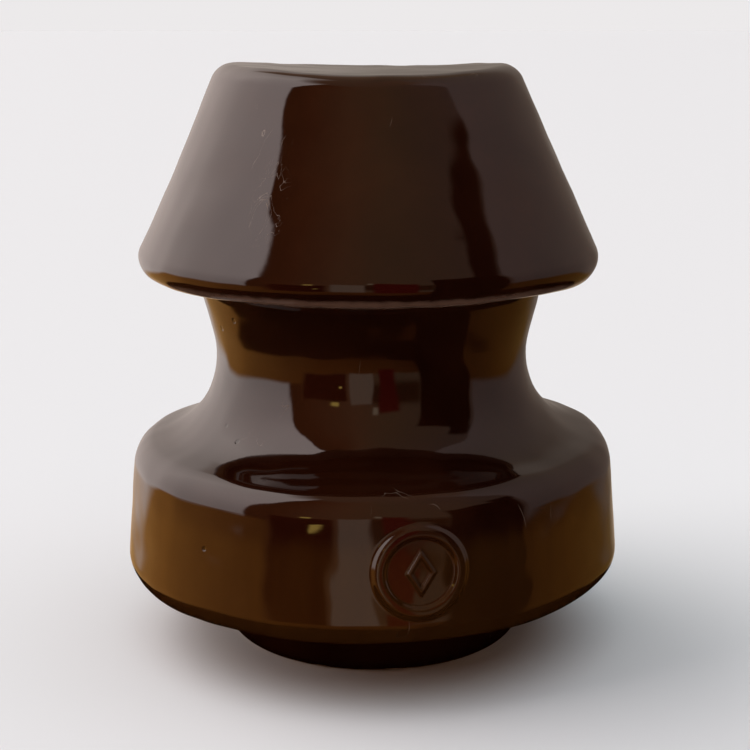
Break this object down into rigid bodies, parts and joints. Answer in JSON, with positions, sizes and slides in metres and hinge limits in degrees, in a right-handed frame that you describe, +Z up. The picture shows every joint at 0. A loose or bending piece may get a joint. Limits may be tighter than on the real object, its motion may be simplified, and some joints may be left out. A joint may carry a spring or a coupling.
{
  "type": "pin insulator",
  "caption": "Brown glazed porcelain pin insulator with a truncated-cone head, drip rim, tie-wire groove, round-shouldered skirt and a cemented thread thimble in its foot.",
  "frame": {"origin": "on the insulator's axis, in the plane of the foot ring that it stands on", "axes": "+Z up the axis from the foot ring to the crown; -Y is the front, with the raised mark turned 10 degrees from it towards +X"},
  "size_m": [0.0912, 0.0918, 0.1046],
  "materials": {
    "brown_glaze": "gloss",
    "fired_sand": "matte",
    "cement": "matte",
    "bitumen": "satin",
    "zinc": "satin",
    "cork": "matte"
  },
  "bodies": {
    "root": {"porcelain_body": "brown_glaze", "sand_band": "fired_sand", "cement_fill": "cement", "bitumen_coat": "bitumen", "thread_thimble": "zinc", "cushion_disc": "cork"}
  },
  "joints": []
}
